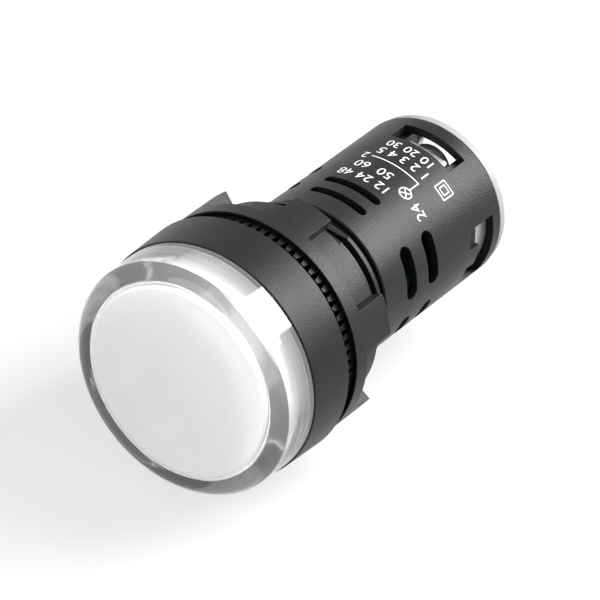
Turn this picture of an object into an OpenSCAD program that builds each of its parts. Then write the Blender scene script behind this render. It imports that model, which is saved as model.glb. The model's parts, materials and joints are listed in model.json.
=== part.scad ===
// Round LED pilot light for a 22 mm panel hole.
// The lamp's axis runs along Y and its lens looks along -Y. Y = 0 is the panel seat, at the back of the bezel.
// Every module is drawn in the lamp's own turning frame and laid down by lay(): there, z runs backwards along
// the axis, x points up and y points to the lamp's +X side.

/* [Head] */
// Diameter of the bezel at the panel seat
bezel_d = 29.4; // [27:0.1:32]
// Length of the bezel in front of the panel seat
bezel_len = 6.5; // [5.5:0.1:9]
// Amount by which the bezel's radius draws in towards its front
bezel_draft = 0.2; // [0:0.05:0.5]
// Wall of the bezel round the head's cavity
bezel_wall = 1.4; // [1:0.1:1.8]
// Thickness of the floor between the head's cavity and the panel seat
seat_t = 1.8; // [1.2:0.1:2.4]
// Length of the lens in front of the bezel
lens_len = 6.4; // [5:0.1:10]
// Distance that the lens side stands in from the bezel's front edge
lens_step = 0.15; // [0.05:0.05:0.5]
// Amount by which the lens radius draws in towards its front
lens_draft = 0.15; // [0:0.05:0.4]
// Radius of the lens's rounded front edge
lens_round = 2.9; // [1.5:0.1:3.4]
// Thickness of the lens front
lens_front_t = 1.3; // [1:0.1:2]
// Thickness of the lens side wall
lens_wall = 2.4; // [1.8:0.1:3]
// Radius of the corner between the lens's inner front and its inner side
lens_inner_round = 0.6; // [0.3:0.1:0.7]
// Thickness of the diffuser disc
diffuser_t = 0.8; // [0.5:0.1:1.2]
// Wall of the reflector tube at its front
reflector_wall = 0.8; // [0.6:0.1:1.2]
// Thickness of the reflector's foot flange
reflector_foot_t = 0.8; // [0.6:0.1:1]
// Thickness of the seal between the lens and the reflector's foot
seal_t = 0.6; // [0.4:0.1:0.8]

/* [Light source] */
// Thickness of the LED board
led_board_t = 1.2; // [0.8:0.1:1.6]
// Number of LEDs in the ring round the middle one
led_count = 6; // [3:1:7]
// Radius of the ring of LEDs
led_ring_r = 5.8; // [5:0.1:6.5]
// Length of an LED package
led_l = 3.5; // [3:0.1:3.6]
// Width of an LED package
led_w = 2.8; // [2.2:0.1:3]
// Height of an LED package
led_h = 0.8; // [0.6:0.1:1.2]

/* [Threaded shank] */
// Major diameter of the shank's thread, which passes through the panel hole
thread_d = 21.8; // [21.5:0.1:22]
// Depth of the thread
thread_depth = 0.92; // [0.7:0.02:1]
// Pitch of the thread
thread_pitch = 1.5; // [1:0.25:2]
// Width of a thread crest
crest_w = 0.55; // [0.3:0.05:0.6]
// Width of a thread ridge at its root
ridge_w = 1.05; // [0.8:0.05:1.2]
// Distance from the panel seat to the end of the thread
thread_end = 12.4; // [10:0.1:16]
// Length of the plain register under the gasket and the panel
register_len = 1.8; // [1:0.1:2.4]
// Distance across the shank's two moulding flats
flats = 20.4; // [20.3:0.05:20.8]
// Length of the runout groove behind the thread
runout_len = 1.3; // [0.8:0.1:2]
// Diameter of the runout groove
runout_d = 19; // [18.8:0.1:19.6]
// Bore of the shank
shank_bore_d = 17.2; // [16.5:0.1:17.6]

/* [Barrel] */
// Diameter of the barrel
barrel_d = 20.4; // [20:0.1:20.5]
// Distance from the panel seat to the barrel's rear end
barrel_end = 37.4; // [36:0.1:45]
// Wall of the barrel
barrel_wall = 1; // [0.8:0.1:1.3]
// Radius of the barrel's rear outer edge
barrel_round = 0.4; // [0.2:0.1:0.7]

/* [Vents and windows] */
// Width of the narrow vents in the top and bottom
narrow_vent_w = 1.2; // [0.8:0.1:1.6]
// Distance from the panel seat to the first narrow vent's middle
narrow_vent_z = 17.2; // [16.2:0.1:18]
// Distance between the narrow vents
narrow_vent_pitch = 2.8; // [2.2:0.1:3.4]
// Angle that a narrow vent covers
narrow_vent_span = 43; // [30:1:50]
// Turn of the narrow vents away from the top
narrow_vent_turn = -7; // [-10:1:0]
// Width of the wide vents in the sides
wide_vent_w = 2; // [1.4:0.1:2.4]
// Distance from the panel seat to the first wide vent's middle
wide_vent_z = 18.9; // [18:0.1:20]
// Distance between the wide vents
wide_vent_pitch = 4.3; // [3.4:0.1:4.8]
// Angle that a wide vent covers
wide_vent_span = 37; // [25:1:40]
// Angle between a wide vent's middle and the side of the barrel
wide_vent_turn = 26; // [23:1:30]
// Angle that each of the four rear windows covers
window_span = 49; // [40:1:54]
// Length of the wire windows in the top and bottom
wire_window_len = 3.2; // [2.6:0.1:3.8]
// Length of the windows in the sides
side_window_len = 4.8; // [4:0.1:5]
// Distance from the side windows' rear edge to the barrel's rear end
side_window_back = 1.8; // [1.5:0.1:2.4]
// Distance from the wire windows' rear edge to the barrel's rear end
wire_window_back = 2.2; // [2:0.1:2.8]

/* [Panel fixing] */
// Thickness of the panel gasket
gasket_t = 0.8; // [0.5:0.1:1.2]
// Outer diameter of the panel gasket
gasket_d = 26.8; // [25:0.1:27.4]
// Thickness of the lock ring with its teeth
lock_ring_t = 2; // [1.7:0.1:2.4]
// Number of teeth on the lock ring
tooth_count = 72; // [48:1:80]
// Height of a tooth
tooth_h = 1.4; // [0.8:0.1:1.5]
// Part of a tooth's pitch that its flat tip takes up
tooth_tip = 0.38; // [0.3:0.02:0.6]
// Diameter of the nut
nut_d = 28.66; // [28.4:0.02:29.2]
// Thickness of the nut's thin rim round the lock ring
nut_rim_t = 0.28; // [0.2:0.02:0.5]
// Wall of the nut between its bore and the floors of the notches
nut_wall = 1.57; // [1.3:0.01:2.2]
// Distance that the lock ring stands out of the nut's recess
ring_proud = 1.05; // [0.6:0.05:1.2]
// Length of the nut
nut_len = 6.6; // [5:0.1:9]
// Length of the nut's plain rim
rim_len = 2; // [1.2:0.1:3]
// Number of grip blocks
block_count = 6; // [4:1:8]
// Angle that a grip block covers
block_span = 19.6; // [14:0.2:26]
// Chamfer of the nut's bore at its rear
nut_chamfer = 0.4; // [0.2:0.1:0.8]
// Turn of the nut where it sits tight
nut_turn = 2; // [0:1:30]

/* [Terminals] */
// Distance of the terminal screws from the lamp's axis
screw_x = 5.7; // [5.5:0.1:5.8]
// Diameter of a terminal screw's thread
screw_d = 3; // [2.5:0.1:3]
// Length of a terminal screw under its head
screw_len = 6.4; // [5:0.1:7]
// Diameter of a screw head
head_d = 5.4; // [4.8:0.1:5.6]
// Height of a screw head
head_h = 1.8; // [1.4:0.1:2]
// Width of the driver slot in a screw head
slot_w = 0.8; // [0.6:0.1:1]
// Depth of the driver slot in a screw head
slot_depth = 0.9; // [0.6:0.1:1]
// Width of a clamp washer across the lamp
clamp_w = 5.8; // [5.4:0.1:6.2]
// Thickness of a clamp washer
clamp_t = 0.8; // [0.6:0.1:1]
// Thickness of a terminal plate
plate_t = 0.9; // [0.7:0.1:1.2]
// Distance from the screw head's rear to the barrel's rear end
head_back = 1.4; // [1.2:0.1:2.2]
// Distance from the lamp's axis to a terminal pocket's floor
barrier = 2.2; // [2:0.1:2.4]
// Thickness of the terminal base in front of the screw holes
base_floor = 1.1; // [0.6:0.1:2]

/* [Rear cover] */
// Diameter of the rear cover
cover_d = 20; // [19.4:0.1:20.3]
// Thickness of the rear cover
cover_t = 1.3; // [1:0.1:2]
// Radius of the rear cover's outer edge
cover_round = 0.5; // [0.2:0.1:0.8]
// Diameter of the screwdriver holes
driver_hole_d = 6.2; // [6:0.1:6.4]
// Angle that each leg of the cover covers
leg_span = 56; // [40:1:60]
// Length of the cover's legs
leg_len = 3.9; // [3:0.1:4.4]
// Thickness of the cover's legs
leg_t = 1; // [0.8:0.1:1.1]
// Height of the bead that holds the cover in the barrel
bead_h = 0.2; // [0.1:0.05:0.3]
// Angle that the bead leaves free at each end of a leg
bead_end = 5; // [2:1:10]

/* [Driver board] */
// Width of the driver board
board_w = 15.2; // [13:0.1:15.6]
// Thickness of the driver board
board_t = 1.2; // [0.8:0.1:1.6]
// Distance from the panel seat to the driver board's front edge
board_front = 4.5; // [3.5:0.1:6]
// Distance between the two lead pins
pin_gap = 6; // [5:0.1:8]
// Diameter of the lead pins
pin_d = 0.8; // [0.6:0.05:1]
// Diameter of the components' leads
lead_d = 0.6; // [0.4:0.05:0.8]
// Length of the film capacitor along the board
film_l = 10; // [8:0.5:11.5]
// Width of the film capacitor across the board
film_w = 8.5; // [6:0.1:9]
// Height of the film capacitor
film_h = 4.8; // [3.5:0.1:5.5]
// Diameter of the electrolytic capacitor
can_d = 6.3; // [5:0.1:6.5]
// Length of the electrolytic capacitor
can_l = 11; // [8:0.5:12]
// Diameter of the power resistor
resistor_d = 3.4; // [2.4:0.1:3.6]
// Length of the power resistor
resistor_l = 8.4; // [6:0.1:8.8]
// Length of the bridge rectifier along the board
bridge_l = 4.4; // [3.6:0.1:4.8]
// Width of the bridge rectifier across the board
bridge_w = 6.4; // [5.6:0.1:7]
// Height of the bridge rectifier
bridge_h = 2.4; // [1.8:0.1:2.8]

/* [Fits] */
// Radial gap of pieces that are pushed into their seats
push_gap = 0.1; // [0.05:0.01:0.15]
// Radial running gap of the nut, the screws and the lock ring
run_gap = 0.06; // [0.02:0.01:0.1]
// Gap between faces that press on each other when tightened
face_gap = 0.05; // [0.02:0.01:0.1]

/* [Hidden] */
$fn = 96;
cut = 0.5;

BLACK = [0.12, 0.12, 0.13];
RUBBER = [0.08, 0.08, 0.09];
CLEAR = [0.86, 0.88, 0.9, 0.5];
WHITE = [0.93, 0.93, 0.92];
PALE = [0.86, 0.87, 0.86];
BOARD_GREEN = [0.1, 0.35, 0.2];
LED_YELLOW = [0.93, 0.85, 0.45];
NICKEL = [0.75, 0.75, 0.74];
FILM_RED = [0.6, 0.16, 0.12];
CAN_BLUE = [0.12, 0.16, 0.3];
RESISTOR_GREY = [0.55, 0.6, 0.62];

// Head: radii, and distances along the axis (the head lies at negative z)
bezel_r = bezel_d / 2;
bezel_front_r = bezel_r - bezel_draft;
cavity_r = bezel_front_r - bezel_wall;
lens_r = bezel_front_r - lens_step;
lens_cavity_r = lens_r - lens_wall;
lens_front_z = -bezel_len - lens_len;
lens_inner_z = lens_front_z + lens_front_t;
led_board_z = -seat_t - led_board_t;
foot_z = led_board_z - reflector_foot_t;
seal_z = foot_z - seal_t;
diffuser_z = lens_inner_z + push_gap;
reflector_z = diffuser_z + diffuser_t;
reflector_r = lens_cavity_r - 3 * push_gap;

// Shank and barrel
thread_r = thread_d / 2;
core_r = thread_r - thread_depth;
runout_z = thread_end + runout_len;
barrel_r = barrel_d / 2;
bore_r = barrel_r - barrel_wall;
bore_step_z = runout_z + 1;
ridge_count = floor((thread_end - register_len) / thread_pitch);

// Windows: their front edges along the axis
side_window_z = barrel_end - side_window_back - side_window_len;
wire_window_z = barrel_end - wire_window_back - wire_window_len;

// Panel fixing, stacked on the seat
ring_z = gasket_t + face_gap;
ring_end = ring_z + lock_ring_t;
nut_z = ring_z + ring_proud;
nut_end = nut_z + nut_len;
nut_r = nut_d / 2;
nut_recess_r = nut_r - nut_rim_t;
lock_ring_r = nut_recess_r - 3 * push_gap;
fixing_bore_r = thread_r + run_gap;
notch_floor_r = fixing_bore_r + nut_wall;

// Terminals, stacked from the screw head's rear forwards
head_z = barrel_end - head_back - head_h;
clamp_z = head_z - face_gap - clamp_t;
plate_z = clamp_z - face_gap - plate_t;
screw_end_z = head_z - screw_len;
screw_hole_z = screw_end_z - 3 * push_gap;
base_z = screw_hole_z - base_floor;
base_r = bore_r - push_gap;
pocket_w = clamp_w + 4 * push_gap;
plate_x0 = barrier + push_gap;
plate_x1 = screw_x + clamp_w / 2;
collar_r = screw_d / 2 + 0.8;
collar_l = 1.6;
tail_w = 2;
tail_t = 0.8;
tail_z = base_z - 1;
foot_front_z = tail_z - tail_t;

// Rear cover
leg_r = bore_r - push_gap;
leg_z = barrel_end - leg_len;
bead_z = barrel_end - side_window_back / 2;

// Driver board: its parts stand clear of the leads that come through it. The film capacitor follows the lead
// pins, and the others are placed forwards from the terminals' feet.
board_end = base_z + 1.5;
pin_r = pin_d / 2;
rest_gap = 0.02;
pin_x = board_t / 2 + pin_r + rest_gap;
pin_end_z = board_front + 2;
lead_r = lead_d / 2;
lead_bend_r = lead_d;
lead_through = 0.7;
part_x = board_t / 2 + lead_through + rest_gap;
part_gap = 0.2;
film_z = pin_end_z + part_gap;
film_lead_inset = 1;
resistor_z = foot_front_z - 2 - resistor_d / 2;
resistor_lead_y = resistor_l / 2 + 1;
bridge_z = foot_front_z - part_gap - bridge_l;
bridge_lead_y = bridge_w / 2 - 0.8;
can_lead_y = 1.25;
can_lead_z = bridge_z - part_gap - lead_r;
can_end_z = can_lead_z - 1;
can_z = can_end_z - can_l;

// Lays a piece drawn round z down along Y, with its x axis up
module lay() {
    rotate([0, -90, -90]) children();
}

// Turns a piece about the lamp's axis, from the top towards +X
module turned(angle) {
    rotate([0, 0, angle]) children();
}

// Plain ring or tube between two radii
module tube(inner_r, outer_r, z0, z1) {
    rotate_extrude() translate([inner_r, z0]) square([outer_r - inner_r, z1 - z0]);
}

// Part of a ring, centred on the turn given
module sector(inner_r, outer_r, z0, z1, turn, span) {
    turned(turn - span / 2)
        rotate_extrude(angle = span) translate([inner_r, z0]) square([outer_r - inner_r, z1 - z0]);
}

// Outline from the axis to a radius, with its outer corner at the low end rounded
module round_low(r, z0, z1, fillet) {
    translate([0, z0 + fillet]) square([r, z1 - z0 - fillet]);
    translate([0, z0]) square([r - fillet, fillet * 2]);
    translate([r - fillet, z0 + fillet]) circle(fillet);
}

// Box centred across the lamp, from x0 to x1 and z0 to z1
module slab(x0, x1, width, z0, z1) {
    translate([x0, -width / 2, z0]) cube([x1 - x0, width, z1 - z0]);
}

// Round bar along z
module rod(r, z0, z1) {
    translate([0, 0, z0]) cylinder(h = z1 - z0, r = r);
}

// Vent with round ends, cut straight through the barrel's wall by a pull to the side
module vent(z, width, turn, span) {
    end_y = barrel_r * sin(span / 2) - width / 2;
    turned(turn) translate([bore_r / 2, 0, z]) rotate([90, 0, 90]) linear_extrude(barrel_r) {
        square([2 * end_y, width], center = true);
        for (side = [-1, 1]) {
            translate([side * end_y, 0]) circle(d = width);
        }
    }
}

module vents() {
    for (half = [0, 180], row = [0, 1]) {
        vent(narrow_vent_z + row * narrow_vent_pitch, narrow_vent_w,
            half + narrow_vent_turn, narrow_vent_span);
    }
    for (side = [90, 270], mirror_side = [-1, 1], row = [0, 1]) {
        vent(wide_vent_z + row * wide_vent_pitch, wide_vent_w,
            side + mirror_side * wide_vent_turn, wide_vent_span);
    }
}

module windows() {
    inner_r = bore_r - cut;
    outer_r = barrel_r + cut;
    for (turn = [0, 180]) {
        sector(inner_r, outer_r, wire_window_z, wire_window_z + wire_window_len, turn, window_span);
        sector(inner_r, outer_r, side_window_z, side_window_z + side_window_len, turn + 90, window_span);
    }
}

// One ridge of the thread in section, as a ring: the lead is too fine to show
module ridge_outline(z) {
    polygon([
        [core_r - cut, z - ridge_w / 2], [core_r, z - ridge_w / 2],
        [thread_r, z - crest_w / 2], [thread_r, z + crest_w / 2],
        [core_r, z + ridge_w / 2], [core_r - cut, z + ridge_w / 2]
    ]);
}

// Thread ridges and register, with the two moulding flats
module shank_outside() {
    intersection() {
        union() {
            tube(core_r - cut, thread_r, 0, register_len);
            rotate_extrude()
                for (i = [0 : ridge_count - 1])
                    ridge_outline(thread_end - ridge_w / 2 - i * thread_pitch);
        }
        slab(-flats / 2, flats / 2, thread_d + 1, -cut, thread_end + cut);
    }
}

// Section of the bezel, core, runout groove and barrel
module housing_outline() {
    difference() {
        union() {
            polygon([
                [0, -bezel_len], [bezel_front_r - 0.2, -bezel_len], [bezel_front_r, -bezel_len + 0.2],
                [bezel_r, -0.3], [bezel_r - 0.3, 0], [core_r, 0],
                [core_r, thread_end], [runout_d / 2, thread_end + 0.1], [runout_d / 2, runout_z],
                [barrel_r - 0.15, runout_z], [barrel_r, runout_z + 0.15],
                [barrel_r, barrel_end - barrel_round], [0, barrel_end - barrel_round]
            ]);
            mirror([0, 1]) round_low(barrel_r, -barrel_end, -runout_z - 1, barrel_round);
        }
        translate([0, -bezel_len - cut]) square([cavity_r, bezel_len - seat_t + cut]);
        square([shank_bore_d, 2 * (bore_step_z + cut)], center = true);
        translate([0, bore_step_z]) square([bore_r, barrel_end]);
        translate([0, bead_z - 0.4]) square([bore_r + bead_h + push_gap, 0.8]);
    }
}

module housing() {
    color(BLACK) lay() difference() {
        union() {
            rotate_extrude() housing_outline();
            shank_outside();
        }
        vents();
        windows();
    }
}

module lens_cap() {
    color(CLEAR) lay() rotate_extrude() difference() {
        union() {
            intersection() {
                round_low(lens_r, lens_front_z, -bezel_len, lens_round);
                polygon([
                    [0, lens_front_z], [lens_r - lens_draft, lens_front_z],
                    [lens_r - lens_draft, lens_front_z + lens_round], [lens_r, -bezel_len], [0, -bezel_len]
                ]);
            }
            translate([0, -bezel_len - cut]) square([cavity_r - push_gap, seal_z + bezel_len + cut]);
        }
        round_low(lens_cavity_r, lens_inner_z, 0, lens_inner_round);
    }
}

module lens_seal() {
    color(RUBBER) lay() tube(lens_cavity_r, cavity_r - push_gap, seal_z, foot_z);
}

module diffuser() {
    color(WHITE) lay() rotate_extrude() round_low(reflector_r, diffuser_z, reflector_z, diffuser_t / 2);
}

module reflector() {
    tube_z = foot_z + reflector_foot_t;
    color(WHITE) lay() rotate_extrude() difference() {
        union() {
            translate([0, reflector_z]) square([reflector_r, tube_z - reflector_z]);
            translate([0, foot_z]) square([cavity_r - push_gap, reflector_foot_t]);
        }
        polygon([
            [0, reflector_z - cut], [reflector_r - reflector_wall, reflector_z - cut],
            [reflector_r - reflector_wall, reflector_z],
            [reflector_r - 2 * reflector_wall, tube_z], [0, tube_z + cut]
        ]);
    }
}

module led_board() {
    color(BOARD_GREEN) lay() difference() {
        rod(cavity_r - push_gap, led_board_z, -seat_t);
        lead_pin_pair(pin_r + push_gap);
        slab(cavity_r - 1, cavity_r + 1, 2, led_board_z - cut, 0);
    }
}

module led_chip() {
    body_z = led_board_z - led_h;
    slab(-led_l / 2, led_l / 2, led_w, body_z, led_board_z);
    rod(led_w / 2 - 0.4, body_z - 0.15, body_z + 0.1);
}

module led_chips() {
    color(LED_YELLOW) lay() {
        led_chip();
        for (i = [0 : led_count - 1]) {
            turned(i * 360 / led_count) translate([led_ring_r, 0]) turned(90) led_chip();
        }
    }
}

module lead_pin_pair(r) {
    for (side = [-1, 1]) {
        translate([pin_x, side * pin_gap / 2]) rod(r, led_board_z - 0.4, pin_end_z);
    }
}

module lead_pins() {
    color(NICKEL) lay() lead_pin_pair(pin_r);
}

// Straight lead through the board at a place along and across it
module lead(r, y, z, x0, x1) {
    translate([x0, y, z]) rotate([0, 90, 0]) cylinder(h = x1 - x0, r = r);
}

// Quarter bend of a lead that comes in along +y and leaves along -x, where its two lines would meet
module lead_bend() {
    translate([-lead_bend_r, -lead_bend_r])
        rotate_extrude(angle = 90) translate([lead_bend_r, 0]) circle(lead_r);
}

module film_leads(r) {
    for (z = [film_z + film_lead_inset, film_z + film_l - film_lead_inset]) {
        lead(r, 0, z, -board_t / 2 - lead_through, part_x + cut);
    }
}

module can_leads(r) {
    for (side = [-1, 1]) {
        lead(r, side * can_lead_y, can_lead_z, -part_x - can_d / 2 + lead_bend_r, board_t / 2 + lead_through);
    }
}

module resistor_leads(r) {
    for (side = [-1, 1]) {
        lead(r, side * resistor_lead_y, resistor_z, -board_t / 2 - lead_through,
            part_x + resistor_d / 2 - lead_bend_r);
    }
}

module bridge_leads(r) {
    for (side = [-1, 1]) {
        lead(r, side * bridge_lead_y, bridge_z + bridge_l / 2, -part_x - cut, board_t / 2 + lead_through);
    }
}

module driver_board() {
    hole_r = lead_r + push_gap;
    color(BOARD_GREEN) lay() difference() {
        slab(-board_t / 2, board_t / 2, board_w, board_front, board_end);
        film_leads(hole_r);
        can_leads(hole_r);
        resistor_leads(hole_r);
        bridge_leads(hole_r);
    }
}

// Box with rounded long edges
module film_capacitor() {
    edge_r = 0.8;
    half_w = film_w / 2;
    color(FILM_RED) lay() {
        translate([0, 0, film_z]) linear_extrude(film_l) {
            translate([part_x, -half_w]) square([film_h - edge_r, film_w]);
            translate([part_x, -half_w + edge_r]) square([film_h, film_w - 2 * edge_r]);
            for (side = [-1, 1]) {
                translate([part_x + film_h - edge_r, side * (half_w - edge_r)]) circle(edge_r);
            }
        }
        film_leads(lead_r);
    }
}

// Can with a rounded closed end and a rolled groove near the end that its leads come out of
module electrolytic_capacitor() {
    axis_x = -part_x - can_d / 2;
    color(CAN_BLUE) lay() {
        translate([axis_x, 0, 0]) rotate_extrude() difference() {
            round_low(can_d / 2, can_z, can_end_z, 0.4);
            translate([can_d / 2, can_end_z - 2]) circle(0.35);
        }
        for (side = [-1, 1]) {
            translate([axis_x, side * can_lead_y]) rod(lead_r, can_end_z - cut, can_lead_z - lead_bend_r);
            translate([axis_x, side * can_lead_y, can_lead_z])
                mirror([1, 0, 0]) rotate([90, 0, 0]) lead_bend();
        }
        can_leads(lead_r);
    }
}

module power_resistor() {
    end_cap_l = 1.8;
    cap_y = (resistor_l - end_cap_l) / 2;
    color(RESISTOR_GREY) lay() {
        translate([part_x + resistor_d / 2, 0, resistor_z]) rotate([90, 0, 0]) {
            cylinder(h = resistor_l - end_cap_l, r = resistor_d / 2 - 0.25, center = true);
            for (side = [-1, 1]) {
                translate([0, 0, side * cap_y]) cylinder(h = end_cap_l, r = resistor_d / 2, center = true);
            }
            cylinder(h = 2 * (resistor_lead_y - lead_bend_r), r = lead_r, center = true);
        }
        for (side = [0, 1]) {
            mirror([0, side, 0])
                translate([part_x + resistor_d / 2, resistor_lead_y, resistor_z]) lead_bend();
        }
        resistor_leads(lead_r);
    }
}

module bridge_rectifier() {
    color(BLACK) lay() {
        slab(-part_x - bridge_h, -part_x, bridge_w, bridge_z, bridge_z + bridge_l);
        bridge_leads(lead_r);
    }
}

// What the terminals need cut out of the base, for the upper one
module terminal_pocket() {
    slab(barrier, barrel_r, pocket_w, plate_z, barrel_end + cut);
    translate([screw_x, 0]) rod(collar_r + push_gap, plate_z - collar_l - push_gap, plate_z + cut);
    translate([screw_x, 0]) rod(screw_d / 2 + 3 * push_gap, screw_hole_z, plate_z);
    slab(plate_x0 - push_gap, plate_x0 + tail_t + push_gap, tail_w + 2 * push_gap, base_z - cut, plate_z + cut);
}

module terminal_base() {
    leg_gap = 2;
    lug_z = side_window_z + push_gap;
    color(BLACK) lay() difference() {
        union() {
            rod(base_r, base_z, barrel_end);
            for (side = [90, 270]) {
                sector(base_r - cut, barrel_r - 0.3, lug_z, leg_z - 3 * push_gap, side, window_span / 3);
            }
        }
        for (half = [0, 180]) {
            turned(half) terminal_pocket();
            sector(leg_r - leg_t - push_gap, base_r + cut, leg_z - push_gap, barrel_end + cut,
                half + 90, leg_span + leg_gap);
        }
        slab(-board_t / 2 - push_gap, board_t / 2 + push_gap, board_w + 2 * push_gap, base_z - cut, board_end);
    }
}

// Plate, threaded collar, and a tail that runs to the driver board and turns down on to it
module terminal() {
    color(NICKEL) lay() difference() {
        union() {
            slab(plate_x0, plate_x1, clamp_w, plate_z, plate_z + plate_t);
            translate([screw_x, 0]) rod(collar_r, plate_z - collar_l, plate_z + plate_t);
            slab(plate_x0, plate_x0 + tail_t, tail_w, tail_z, plate_z + plate_t);
            slab(board_t / 2 + rest_gap, plate_x0 + tail_t, tail_w, foot_front_z, tail_z);
        }
        translate([screw_x, 0]) rod(screw_d / 2 + run_gap, plate_z - collar_l - cut, barrel_end);
    }
}

// Square washer with rounded corners
module clamp() {
    corner_r = 0.7;
    half = clamp_w / 2;
    color(NICKEL) lay() difference() {
        translate([screw_x, 0, clamp_z]) linear_extrude(clamp_t) {
            square([clamp_w - 2 * corner_r, clamp_w], center = true);
            square([clamp_w, clamp_w - 2 * corner_r], center = true);
            for (sx = [-1, 1], sy = [-1, 1]) {
                translate([sx * (half - corner_r), sy * (half - corner_r)]) circle(corner_r);
            }
        }
        translate([screw_x, 0]) rod(screw_d / 2 + run_gap, clamp_z - cut, barrel_end);
    }
}

// Cheese-head screw with a slot right across and a shorter one square to it
module screw() {
    head_r = head_d / 2;
    head_end = head_z + head_h;
    slot_z = head_end - slot_depth;
    color(NICKEL) lay() translate([screw_x, 0]) difference() {
        union() {
            mirror([0, 0, 1]) rotate_extrude() round_low(head_r, -head_end, -head_z, 0.4);
            rod(screw_d / 2, screw_end_z, head_z + cut);
        }
        slab(-slot_w / 2, slot_w / 2, head_d + 1, slot_z, head_end + cut);
        slab(-head_r * 0.6, head_r * 0.6, slot_w, slot_z, head_end + cut);
    }
}

module rear_cover() {
    color(PALE) lay() difference() {
        union() {
            mirror([0, 0, 1])
                rotate_extrude() round_low(cover_d / 2, -barrel_end - cover_t, -barrel_end, cover_round);
            for (side = [90, 270]) {
                sector(leg_r - leg_t, leg_r, leg_z, barrel_end + cut, side, leg_span);
                sector(leg_r - cut, leg_r + bead_h, bead_z - 0.3, bead_z + 0.3, side,
                    leg_span - 2 * bead_end);
            }
        }
        for (side = [-1, 1]) {
            translate([side * screw_x, 0]) rod(driver_hole_d / 2, barrel_end - cut, barrel_end + cover_t + cut);
        }
    }
}

module panel_gasket() {
    color(RUBBER) lay() tube(thread_r + push_gap, gasket_d / 2, 0, gasket_t);
}

// Groove between two teeth, wide at the tips and narrow at the root
module tooth_gap() {
    pitch = 2 * PI * lock_ring_r / tooth_count;
    tip_half = pitch * (1 - tooth_tip) / 2;
    root_half = 0.05;
    start_r = fixing_bore_r - 1;
    translate([start_r, 0]) rotate([90, 0, 90]) linear_extrude(lock_ring_r + cut - start_r)
        polygon([
            [-tip_half, ring_z - cut], [tip_half, ring_z - cut], [tip_half, ring_z],
            [root_half, ring_z + tooth_h], [-root_half, ring_z + tooth_h], [-tip_half, ring_z]
        ]);
}

module lock_ring() {
    color(BLACK) lay() difference() {
        rod(lock_ring_r, ring_z, ring_end);
        intersection() {
            rod(fixing_bore_r, ring_z - cut, ring_end + cut);
            slab(-flats / 2 - run_gap, flats / 2 + run_gap, thread_d + 2, ring_z - cut, ring_end + cut);
        }
        for (i = [0 : tooth_count - 1]) {
            turned((i + 0.5) * 360 / tooth_count) tooth_gap();
        }
    }
}

module mounting_nut() {
    notch_span = 360 / block_count - block_span;
    color(BLACK) lay() difference() {
        rod(nut_r, nut_z, nut_end);
        rod(fixing_bore_r, nut_z - cut, nut_end + cut);
        rotate_extrude() polygon([
            [0, nut_end - nut_chamfer], [fixing_bore_r, nut_end - nut_chamfer],
            [fixing_bore_r + nut_chamfer + cut, nut_end + cut], [0, nut_end + cut]
        ]);
        rod(nut_recess_r, nut_z - cut, ring_end + face_gap);
        for (i = [0 : block_count - 1]) {
            sector(notch_floor_r, nut_r + cut, nut_z + rim_len, nut_end + cut,
                nut_turn + (i + 0.5) * 360 / block_count, notch_span);
        }
    }
}

housing();
lens_cap();
lens_seal();
diffuser();
reflector();
led_board();
led_chips();
lead_pins();
driver_board();
film_capacitor();
electrolytic_capacitor();
power_resistor();
bridge_rectifier();
terminal_base();
terminal();  // terminal_upper
mirror([0, 0, 1]) terminal();  // terminal_lower
clamp();  // clamp_upper
mirror([0, 0, 1]) clamp();  // clamp_lower
screw();  // screw_upper
mirror([0, 0, 1]) screw();  // screw_lower
rear_cover();
panel_gasket();
lock_ring();
mounting_nut();
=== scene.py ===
"""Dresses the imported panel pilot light: materials, printed marks, light, floor and camera."""

import json
import math

import bmesh
import bpy
from mathutils import Matrix, Vector


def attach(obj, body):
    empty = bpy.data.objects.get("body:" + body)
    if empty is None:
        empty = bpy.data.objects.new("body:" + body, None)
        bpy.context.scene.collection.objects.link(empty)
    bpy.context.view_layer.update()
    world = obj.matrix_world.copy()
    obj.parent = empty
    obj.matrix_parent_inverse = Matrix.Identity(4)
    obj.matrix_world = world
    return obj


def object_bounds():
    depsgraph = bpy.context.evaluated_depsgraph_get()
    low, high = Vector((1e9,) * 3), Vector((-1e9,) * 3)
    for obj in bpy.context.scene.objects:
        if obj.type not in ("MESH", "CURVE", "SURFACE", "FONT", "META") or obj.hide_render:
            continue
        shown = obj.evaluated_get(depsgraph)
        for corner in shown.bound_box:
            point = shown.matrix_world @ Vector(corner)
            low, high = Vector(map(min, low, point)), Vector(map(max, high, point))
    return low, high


MM = 0.001

# noise mostly lies between these two
NOISE_LOW = 0.3
NOISE_HIGH = 0.7

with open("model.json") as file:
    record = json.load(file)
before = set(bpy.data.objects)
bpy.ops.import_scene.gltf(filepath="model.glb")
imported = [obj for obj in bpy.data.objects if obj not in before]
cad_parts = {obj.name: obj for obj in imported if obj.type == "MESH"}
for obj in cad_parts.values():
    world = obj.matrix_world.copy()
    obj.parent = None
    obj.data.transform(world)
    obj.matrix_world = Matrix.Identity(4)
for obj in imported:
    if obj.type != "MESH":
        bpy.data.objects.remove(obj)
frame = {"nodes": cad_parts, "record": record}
cad_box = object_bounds()
nodes = frame["nodes"]


# ---------------------------------------------------------------- camera


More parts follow.
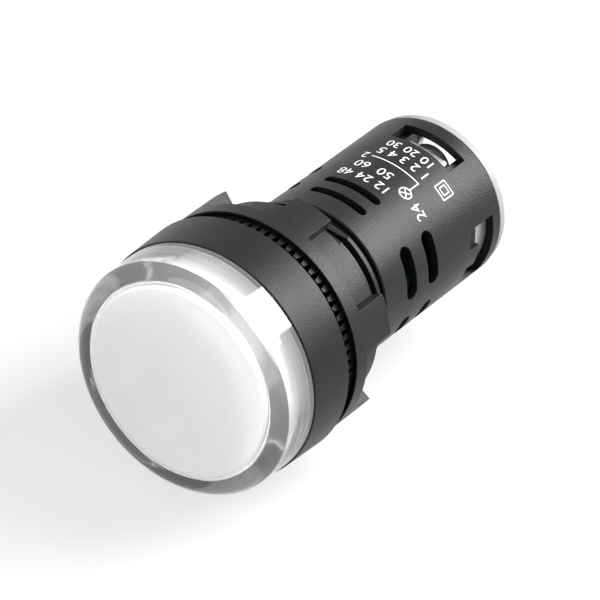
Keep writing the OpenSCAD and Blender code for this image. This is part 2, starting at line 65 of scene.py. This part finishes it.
def make_camera():
    """A long lens that looks down on the lamp from its front right, rolled a little to its left."""
    azimuth = math.radians(26.5)
    elevation = math.radians(38.6)
    roll = math.radians(14.7)
    aim = Vector((4.8, 2.3, 7.1)) * MM
    distance = 560.9 * MM
    forward = Vector(
        (
            -math.sin(azimuth) * math.cos(elevation),
            math.cos(azimuth) * math.cos(elevation),
            -math.sin(elevation),
        )
    )
    level = Vector((math.cos(azimuth), math.sin(azimuth), 0))
    right = level * math.cos(roll) + level.cross(forward) * math.sin(roll)
    up = right.cross(forward)
    data = bpy.data.cameras.new("camera")
    data.sensor_width = 36
    data.lens = 305.4
    data.clip_start = 0.01
    data.clip_end = 20
    camera = bpy.data.objects.new("camera", data)
    turn = Matrix((right, up, -forward)).transposed().to_4x4()
    camera.matrix_world = Matrix.Translation(aim - forward * distance) @ turn
    bpy.context.scene.collection.objects.link(camera)
    bpy.context.scene.camera = camera


# ---------------------------------------------------------------- materials


class Paint:
    """One procedural material on a Principled shader, built node by node in object coordinates (metres)."""

    def __init__(self, name, **sockets):
        self.material = bpy.data.materials.new(name)
        self.material.use_nodes = True
        self.tree = self.material.node_tree
        self.shader = self.tree.nodes["Principled BSDF"]
        self.place = self.node("TexCoord").outputs["Object"]
        for socket, value in sockets.items():
            self.shader.inputs[socket.replace("_", " ")].default_value = value

    def node(self, kind, settings=None, **inputs):
        """Adds a node; an input given as a socket is linked, and any other value is set."""
        made = self.tree.nodes.new("ShaderNode" + kind)
        for name, value in (settings or {}).items():
            setattr(made, name, value)
        for name, value in inputs.items():
            socket = made.inputs[int(name[1:])] if name[1:].isdigit() else made.inputs[name.replace("_", " ")]
            if isinstance(value, bpy.types.NodeSocket):
                self.tree.links.new(value, socket)
            else:
                socket.default_value = value
        return made

    def set(self, socket, value):
        """Links a node's output to a socket of the shader."""
        self.tree.links.new(value, self.shader.inputs[socket])

    def noise(self, grain, detail=2.0, roughness=0.5):
        """Noise whose features are about grain millimetres across."""
        return self.node(
            "TexNoise", Vector=self.place, Scale=1 / (grain * MM), Detail=detail, Roughness=roughness
        ).outputs["Fac"]

    def ramp(self, value, *stops):
        """Colour ramp through (position, brightness or colour) stops."""
        made = self.node("ValToRGB", Fac=value)
        elements = made.color_ramp.elements
        while len(elements) < len(stops):
            elements.new(0.5)
        for element, (position, colour) in zip(elements, stops):
            element.position = position
            element.color = (*colour, 1) if isinstance(colour, tuple) else (colour, colour, colour, 1)
        return made.outputs["Color"]

    def spread(self, value, low, high):
        """Maps the range where noise mostly lies on to low to high."""
        return self.map(value, NOISE_LOW, NOISE_HIGH, low, high)

    def map(self, value, from_low, from_high, low, high):
        """Maps one range on to another, and keeps to it."""
        return self.node(
            "MapRange", Value=value, From_Min=from_low, From_Max=from_high, To_Min=low, To_Max=high
        ).outputs["Result"]

    def soft_edges(self, radius):
        """Normal with its sharp edges rounded to a radius in millimetres."""
        return self.node("Bevel", {"samples": 6}, Radius=radius * MM).outputs["Normal"]

    def bump(self, height, depth, strength, normal=None):
        """Bump of a depth in millimetres; it may stand on another normal."""
        inputs = {"Height": height, "Distance": depth * MM, "Strength": strength}
        if normal is not None:
            inputs["Normal"] = normal
        return self.node("Bump", **inputs).outputs["Normal"]

    def edge_highlight_mask(self, rounded):
        """Mask for a painted edge highlight: 1 on sharp edges and 0 on plain faces, from how far the rounded
        normal leans over.
        """
        plain_face = 0.985
        sharp_edge = 0.8
        flat = self.node("NewGeometry").outputs["Normal"]
        lean = self.node("VectorMath", {"operation": "DOT_PRODUCT"}, _0=flat, _1=rounded)
        return self.map(lean.outputs["Value"], plain_face, sharp_edge, 0, 1)

    def add(self, first, second):
        """Sum of two values."""
        return self.node("Math", {"operation": "ADD"}, _0=first, _1=second).outputs[0]

    def blend(self, share, first, second):
        """Goes from the first colour to the second as the share goes from 0 to 1."""
        return self.node("Mix", {"data_type": "RGBA"}, Factor=share, _6=first, _7=second).outputs[2]


def moulded_black(name, grain, depth, low, high, roughness, edge_radius):
    """Black thermoplastic with a spark-eroded texture; its edges are rounded, and a painted highlight makes
    them a little paler.
    """
    # painted highlight: the paler grey that sharp edges are blended towards
    edge_highlight_tone = (0.04, 0.04, 0.041, 1)
    paint = Paint(name, Specular_IOR_Level=0.2)
    edges = paint.soft_edges(edge_radius)
    grain_noise = paint.noise(grain, detail=3, roughness=0.6)
    cloud = paint.noise(6, detail=3)
    tone = paint.ramp(grain_noise, (0.32, low), (0.68, high))
    painted_highlight = paint.edge_highlight_mask(edges)
    # painted highlight: the base colour turns paler along sharp edges, where the mask is high
    paint.set("Base Color", paint.blend(paint.spread(painted_highlight, 0, 0.5), tone, edge_highlight_tone))
    uneven = paint.spread(grain_noise, roughness - 0.06, roughness + 0.06)
    paint.set("Roughness", paint.add(uneven, paint.spread(cloud, -0.03, 0.03)))
    paint.set("Normal", paint.bump(grain_noise, depth, 0.8, edges))
    return paint.material


def clear_lens():
    """Polished clear moulding, faintly wavy; light from the lamps passes straight through it."""
    paint = Paint("clear_lens_polished", Transmission_Weight=0.88, IOR=1.58, Roughness=0.07)
    wave = paint.noise(7, detail=1)
    paint.set("Normal", paint.bump(wave, 0.03, 0.5))
    tint = paint.ramp(paint.noise(9), (NOISE_LOW, (0.97, 0.972, 0.975)), (NOISE_HIGH, (0.99, 0.99, 0.995)))
    paint.set("Base Color", tint)
    open_to_lamps = paint.node("BsdfTransparent", Color=(0.92, 0.92, 0.92, 1))
    either = paint.node("MixShader", Fac=paint.node("LightPath").outputs["Is Shadow Ray"])
    paint.tree.links.new(paint.shader.outputs[0], either.inputs[1])
    paint.tree.links.new(open_to_lamps.outputs[0], either.inputs[2])
    paint.tree.links.new(either.outputs[0], paint.tree.nodes["Material Output"].inputs["Surface"])
    return paint.material


def milky_disc():
    """Frosted white diffuser sheet: the fine mottling shows in its colour and in a slight bump."""
    paint = Paint(
        "white_diffuser_frosted", Subsurface_Weight=0.35, Subsurface_Scale=0.8 * MM, Coat_Weight=0.15
    )
    fine = paint.noise(0.25, detail=3)
    broad = paint.noise(5)
    paint.set("Base Color", paint.add(paint.spread(fine, 0.8, 0.83), paint.spread(broad, -0.012, 0.012)))
    paint.set("Roughness", paint.spread(fine, 0.5, 0.62))
    paint.set("Normal", paint.bump(fine, 0.008, 0.6))
    return paint.material


def white_moulding():
    """Smooth white plastic with a soft sheen."""
    paint = Paint("white_plastic_smooth", Specular_IOR_Level=0.5)
    broad = paint.noise(3)
    paint.set("Base Color", paint.ramp(broad, (NOISE_LOW, 0.83), (NOISE_HIGH, 0.88)))
    paint.set("Roughness", paint.spread(broad, 0.26, 0.34))
    paint.set("Normal", paint.bump(paint.noise(0.6), 0.006, 0.5, paint.soft_edges(0.1)))
    return paint.material


def seal_rubber():
    """Black rubber with a dull, slightly dusty face."""
    paint = Paint("rubber_dull")
    fine = paint.noise(0.2, detail=4)
    paint.set("Base Color", paint.ramp(fine, (0.35, 0.012), (0.7, 0.03)))
    paint.set("Roughness", paint.spread(fine, 0.7, 0.85))
    paint.set("Normal", paint.bump(fine, 0.02, 0.7, paint.soft_edges(0.1)))
    return paint.material


def seal_silicone():
    """Milky silicone rubber, for the seal that shows through the clear lens."""
    paint = Paint("seal_silicone_milky", Subsurface_Weight=0.4, Subsurface_Scale=0.6 * MM)
    fine = paint.noise(0.3, detail=3)
    paint.set("Base Color", paint.ramp(fine, (NOISE_LOW, 0.72), (NOISE_HIGH, 0.8)))
    paint.set("Roughness", paint.spread(fine, 0.45, 0.6))
    paint.set("Normal", paint.bump(fine, 0.02, 0.6, paint.soft_edges(0.1)))
    return paint.material


def solder_mask():
    """Green board: tracks stand out under the mask as raised, slightly lighter lines."""
    black = (0, 0, 0, 1)
    white = (1, 1, 1, 1)
    over_track = (0.01, 0.075, 0.03, 1)
    paint = Paint("circuit_board_mask", Coat_Weight=0.4, Coat_Roughness=0.15)
    tracks = paint.node(
        "TexBrick",
        {"offset": 0.37, "squash": 0.6},
        Vector=paint.place,
        Scale=420.0,
        Mortar_Size=0.07,
        Color1=black,
        Color2=black,
        Mortar=white,
    ).outputs["Color"]
    share = paint.node("RGBToBW", Color=tracks).outputs[0]
    mottle = paint.noise(0.5)
    mask = paint.ramp(mottle, (NOISE_LOW, (0.003, 0.03, 0.012)), (NOISE_HIGH, (0.005, 0.042, 0.018)))
    paint.set("Base Color", paint.blend(share, mask, over_track))
    paint.set("Roughness", paint.spread(paint.noise(0.4), 0.3, 0.4))
    paint.set("Normal", paint.bump(tracks, 0.035, 0.6))
    return paint.material


def led_package():
    """Package tinted by the yellow phosphor, with its fine grain."""
    paint = Paint("led_package_phosphor")
    grain = paint.noise(0.08, detail=3)
    paint.set("Base Color", paint.ramp(grain, (NOISE_LOW, (0.8, 0.66, 0.2)), (NOISE_HIGH, (0.92, 0.84, 0.5))))
    paint.set("Roughness", paint.spread(grain, 0.35, 0.5))
    paint.set("Normal", paint.bump(grain, 0.01, 0.5, paint.soft_edges(0.08)))
    return paint.material


def plated_metal(name, tint, roughness, turning):
    """Nickel plate over turned or rolled metal: fine marks, cloudy roughness and soft edges."""
    dull_share = 0.82
    rings_per_unit = 20
    paint = Paint(name, Metallic=1.0)
    cloud = paint.noise(1.2, detail=3)
    lines = paint.node(
        "TexWave",
        {"wave_type": "RINGS", "rings_direction": "Y"},
        Vector=paint.place,
        Scale=1 / (turning * MM) / rings_per_unit,
        Distortion=1.5,
        Detail=2.0,
    ).outputs["Fac"]
    darker = tuple(dull_share * part for part in tint)
    paint.set("Base Color", paint.ramp(cloud, (NOISE_LOW, darker), (NOISE_HIGH, tint)))
    paint.set("Roughness", paint.spread(cloud, roughness - 0.07, roughness + 0.09))
    paint.set("Normal", paint.bump(lines, 0.004, 0.5, paint.soft_edges(0.12)))
    return paint.material


def dipped_coating(name, dark, light, roughness, coat):
    """Lacquered or sleeved component body."""
    paint = Paint(name, Coat_Weight=coat, Coat_Roughness=0.12)
    broad = paint.noise(1.5, detail=3)
    paint.set("Base Color", paint.ramp(broad, (NOISE_LOW, dark), (NOISE_HIGH, light)))
    paint.set("Roughness", paint.spread(broad, roughness - 0.05, roughness + 0.08))
    paint.set("Normal", paint.bump(paint.noise(0.7), 0.02, 0.6, paint.soft_edges(0.15)))
    return paint.material


def pale_cover():
    """Natural-coloured plastic that lets a little light through."""
    paint = Paint(
        "pale_cover_translucent",
        Specular_IOR_Level=0.25,
        Subsurface_Weight=0.15,
        Subsurface_Scale=0.6 * MM,
        Subsurface_Radius=(1.0, 1.0, 0.9),
    )
    broad = paint.noise(4, detail=2)
    tone = paint.ramp(broad, (NOISE_LOW, (0.37, 0.376, 0.372)), (NOISE_HIGH, (0.42, 0.426, 0.42)))
    paint.set("Base Color", tone)
    paint.set("Roughness", paint.spread(broad, 0.42, 0.52))
    paint.set("Normal", paint.bump(paint.noise(0.3), 0.006, 0.5, paint.soft_edges(0.15)))
    return paint.material


def white_ink():
    """Pad-printed ink: greyer in small spots, where it is thin and the black shows through."""
    paint = Paint("white_ink_printed", Specular_IOR_Level=0.3)
    fine = paint.noise(0.12, detail=4, roughness=0.7)
    paint.set("Base Color", paint.ramp(fine, (0.22, 0.45), (0.42, 0.84)))
    paint.set("Roughness", paint.spread(fine, 0.5, 0.65))
    paint.set("Normal", paint.bump(fine, 0.004, 0.5))
    return paint.material


def dress_frame():
    """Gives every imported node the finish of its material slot."""
    finishes = {
        "black_plastic": moulded_black(
            "black_plastic_textured",
            grain=0.19,
            depth=0.046,
            low=0.004,
            high=0.014,
            roughness=0.4,
            edge_radius=0.12,
        ),
        "inner_plastic": moulded_black(
            "inner_plastic_plain",
            grain=0.3,
            depth=0.006,
            low=0.005,
            high=0.01,
            roughness=0.42,
            edge_radius=0.1,
        ),
        "clear_lens": clear_lens(),
        "white_diffuser": milky_disc(),
        "white_plastic": white_moulding(),
        "rubber": seal_rubber(),
        "circuit_board": solder_mask(),
        "led_package": led_package(),
        "tinned_wire": plated_metal(
            "tinned_wire_dull", tint=(0.72, 0.72, 0.7), roughness=0.35, turning=0.1
        ),
        "film_case": dipped_coating(
            "film_case_dipped", dark=(0.28, 0.03, 0.015), light=(0.42, 0.06, 0.03), roughness=0.25, coat=0.6
        ),
        "can_sleeve": dipped_coating(
            "can_sleeve_shrunk", dark=(0.01, 0.02, 0.06), light=(0.02, 0.035, 0.1), roughness=0.3, coat=0.4
        ),
        "resistor_body": dipped_coating(
            "resistor_body_lacquered",
            dark=(0.2, 0.25, 0.28),
            light=(0.3, 0.36, 0.38),
            roughness=0.45,
            coat=0.1,
        ),
        "rectifier_case": dipped_coating(
            "rectifier_case_epoxy",
            dark=(0.01, 0.01, 0.011),
            light=(0.025, 0.025, 0.026),
            roughness=0.5,
            coat=0,
        ),
        "plated_brass": plated_metal(
            "plated_brass_nickel", tint=(0.74, 0.72, 0.68), roughness=0.3, turning=0.3
        ),
        "plated_steel": plated_metal(
            "plated_steel_nickel", tint=(0.78, 0.78, 0.765), roughness=0.4, turning=0.18
        ),
        "pale_cover": pale_cover(),
    }
    for entry in frame["record"]["subparts"]:
        piece = nodes[entry["node"]]
        for slot in piece.material_slots:
            slot.material = finishes[entry["material_slot"]]
    # the record gives the seal the black rubber slot, which would darken the lens's edge from inside
    nodes["lens_seal"].material_slots[0].material = seal_silicone()


# ---------------------------------------------------------------- printed marks

# in millimetres, as all of the flat print is
BARREL_R = 10.2
INK_LIFT = 0.006
INK_DEPTH = 0.012
LINE_W = 0.16
SYMBOL_R = 0.78
CAP_SHARE = 0.7  # height of a figure as a share of the font's size

# each row of figures: its words, distance behind the seat, turn from the top in degrees, and height
FIGURE_ROWS = (
    ("24", 24.1, 33.5, 1.5),
    ("12 24 48", 22.5, -7.5, 1.4),
    ("50  60", 24.8, -9, 1.4),
    ("1 2 3 4 5", 28.6, 0, 1.4),
    ("10 20 30", 30.55, -2, 1.3),
)


def wrap_on_barrel(flat):
    """Bends flat print on to the barrel: x runs round it from +X to -X, and y towards the lens."""
    step = 0.25
    reach = max(abs(vertex.co.x) for vertex in flat.verts)
    count = int(reach / step) + 1
    for i in range(-count, count + 1):
        everything = flat.verts[:] + flat.edges[:] + flat.faces[:]
        bmesh.ops.bisect_plane(flat, geom=everything, plane_co=(i * step, 0, 0), plane_no=(1, 0, 0))
    for vertex in flat.verts:
        angle = -vertex.co.x / BARREL_R
        radius = BARREL_R + INK_LIFT + vertex.co.z
        vertex.co = Vector((radius * math.sin(angle), -vertex.co.y, radius * math.cos(angle))) * MM


def bar(flat, start, end):
    """Straight printed line between two points of the flat print."""
    a = Vector(start)
    b = Vector(end)
    side = (b - a).normalized().orthogonal() * (LINE_W / 2)
    corners = (a - side, b - side, b + side, a + side)
    flat.faces.new([flat.verts.new((corner.x, corner.y, 0)) for corner in corners])


def ring(flat, centre, radius):
    """Printed ring."""
    steps = 40
    inner = []
    outer = []
    for i in range(steps + 1):
        angle = math.tau * i / steps
        for loop, size in ((inner, radius - LINE_W / 2), (outer, radius + LINE_W / 2)):
            place = (centre[0] + size * math.cos(angle), centre[1] + size * math.sin(angle), 0)
            loop.append(flat.verts.new(place))
    for i in range(steps):
        flat.faces.new((inner[i], outer[i], outer[i + 1], inner[i + 1]))


def figures(flat, words, centre, height):
    """Plain figures, centred on a point of the flat print."""
    curve = bpy.data.curves.new("figures", "FONT")
    curve.body = words
    curve.size = height / CAP_SHARE
    curve.align_x = "CENTER"
    curve.align_y = "CENTER"
    curve.resolution_u = 4
    text = bpy.data.objects.new("figures", curve)
    bpy.context.scene.collection.objects.link(text)
    shape = text.evaluated_get(bpy.context.evaluated_depsgraph_get()).to_mesh()
    shape.transform(Matrix.Translation((centre[0], centre[1], 0)))
    flat.from_mesh(shape)
    text.to_mesh_clear()
    bpy.data.objects.remove(text)


def lamp_symbol(flat, centre):
    """Ring with a cross in it."""
    ring(flat, centre, SYMBOL_R)
    x, y = centre
    reach = (SYMBOL_R - LINE_W / 2) * math.sqrt(0.5)
    for slope in (-1, 1):
        bar(flat, (x - reach, y - slope * reach), (x + reach, y + slope * reach))


def double_square(flat, centre):
    """Small square in a larger one, with overlapping corners."""
    x, y = centre
    for half in (0.95, 0.5):
        end = half + LINE_W / 2
        for side in (-half, half):
            bar(flat, (x - end, y + side), (x + end, y + side))
            bar(flat, (x + side, y - end), (x + side, y + end))


def on_barrel(distance, turn):
    """Place in the flat print of a point on the barrel: distance behind the seat, and turn from the top."""
    return (-math.radians(turn) * BARREL_R, -distance)


def printed_marks():
    """White print on top of the barrel: the lamp symbol with its lead, plain figures and a double square."""
    flat = bmesh.new()
    symbol = on_barrel(24.3, 18.8)
    lamp_symbol(flat, symbol)
    far_x, lead_y = on_barrel(26.9, -18.7)
    lead_offset = 0.02
    near_x = symbol[0] - lead_offset
    bar(flat, (near_x, symbol[1] - SYMBOL_R), (near_x, lead_y))
    bar(flat, (near_x - LINE_W / 2, lead_y), (far_x, lead_y))
    figure_offset = 0.85
    figures(flat, "2", (far_x + figure_offset, lead_y), 1.3)
    for words, distance, turn, height in FIGURE_ROWS:
        figures(flat, words, on_barrel(distance, turn), height)
    double_square(flat, on_barrel(29.5, 32))
    wrap_on_barrel(flat)
    mesh = bpy.data.meshes.new("printed_marks")
    flat.to_mesh(mesh)
    flat.free()
    mesh.materials.append(white_ink())
    marks = bpy.data.objects.new("printed_marks", mesh)
    bpy.context.scene.collection.objects.link(marks)
    body = marks.modifiers.new("ink", "SOLIDIFY")
    body.thickness = INK_DEPTH * MM
    body.offset = 1
    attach(marks, "lamp")


# ---------------------------------------------------------------- light and stage


def white_for_lenses(tree, plain, white):
    """Mixes a plain shader with a white one that only camera, mirror and glass rays see."""
    path = tree.nodes.new("ShaderNodeLightPath")
    seen = path.outputs["Is Camera Ray"]
    for name in ("Is Glossy Ray", "Is Transmission Ray"):
        either = tree.nodes.new("ShaderNodeMath")
        either.operation = "MAXIMUM"
        tree.links.new(seen, either.inputs[0])
        tree.links.new(path.outputs[name], either.inputs[1])
        seen = either.outputs[0]
    mix = tree.nodes.new("ShaderNodeMixShader")
    tree.links.new(seen, mix.inputs["Fac"])
    tree.links.new(plain, mix.inputs[1])
    tree.links.new(white, mix.inputs[2])
    return mix.outputs[0]


def make_world():
    """Plain white studio: soft fill on the lamp, and full white where a lens, mirror or glass sees it."""
    world = bpy.data.worlds.new("studio")
    world.use_nodes = True
    tree = world.node_tree
    fill = tree.nodes["Background"]
    fill.inputs["Color"].default_value = (1, 1, 1, 1)
    fill.inputs["Strength"].default_value = 0.45
    white = tree.nodes.new("ShaderNodeBackground")
    white.inputs["Color"].default_value = (1, 1, 1, 1)
    white.inputs["Strength"].default_value = 1.0
    shader = white_for_lenses(tree, fill.outputs[0], white.outputs[0])
    tree.links.new(shader, tree.nodes["World Output"].inputs["Surface"])
    bpy.context.scene.world = world


def make_floor():
    """Plain pale floor at the lamp's lowest point; it keeps the shadow."""
    half = 3.0
    gap = 0.02 * MM
    bottom = cad_box[0][2] - gap
    mesh = bpy.data.meshes.new("floor")
    corners = [(-half, -half, bottom), (half, -half, bottom), (half, half, bottom), (-half, half, bottom)]
    mesh.from_pydata(corners, [], [(0, 1, 2, 3)])
    floor = bpy.data.objects.new("floor", mesh)
    bpy.context.scene.collection.objects.link(floor)
    material = bpy.data.materials.new("floor_pale")
    material.use_nodes = True
    tree = material.node_tree
    shader = tree.nodes["Principled BSDF"]
    shader.inputs["Base Color"].default_value = (0.3, 0.3, 0.3, 1)
    shader.inputs["Roughness"].default_value = 0.9
    shader.inputs["Specular IOR Level"].default_value = 0.0
    glow = tree.nodes.new("ShaderNodeEmission")
    glow.inputs["Strength"].default_value = 0.62
    lifted = tree.nodes.new("ShaderNodeAddShader")
    tree.links.new(shader.outputs[0], lifted.inputs[0])
    tree.links.new(glow.outputs[0], lifted.inputs[1])
    seen = white_for_lenses(tree, shader.outputs[0], lifted.outputs[0])
    tree.links.new(seen, tree.nodes["Material Output"].inputs["Surface"])
    mesh.materials.append(material)


def softbox(name, direction, distance, size, power):
    """Soft oval studio lamp that looks at the pilot light's middle from a direction."""
    data = bpy.data.lights.new(name, "AREA")
    data.shape = "ELLIPSE"
    data.size, data.size_y = size
    data.energy = power
    light = bpy.data.objects.new(name, data)
    aim = Vector((0, 0.012, 0))
    away = Vector(direction).normalized()
    light.location = aim + away * distance
    light.rotation_euler = away.to_track_quat("Z", "Y").to_euler()
    bpy.context.scene.collection.objects.link(light)


def make_lights():
    """Key lamp from behind on the right, for the barrel's top, and a weak fill from the front left."""
    softbox("key", direction=(0.366, 0.699, 0.614), distance=0.45, size=(0.24, 0.42), power=4.0)
    softbox("fill", direction=(-0.35, -0.8, 0.55), distance=0.6, size=(0.5, 0.5), power=1.2)


make_camera()
dress_frame()
printed_marks()
make_world()
make_floor()
make_lights()
bpy.context.scene.view_settings.view_transform = "Standard"
# light runs far along inside the clear lens's wall, turned back at each face
bpy.context.scene.cycles.max_bounces = 24
bpy.context.scene.cycles.glossy_bounces = 16
bpy.context.scene.cycles.transmission_bounces = 20
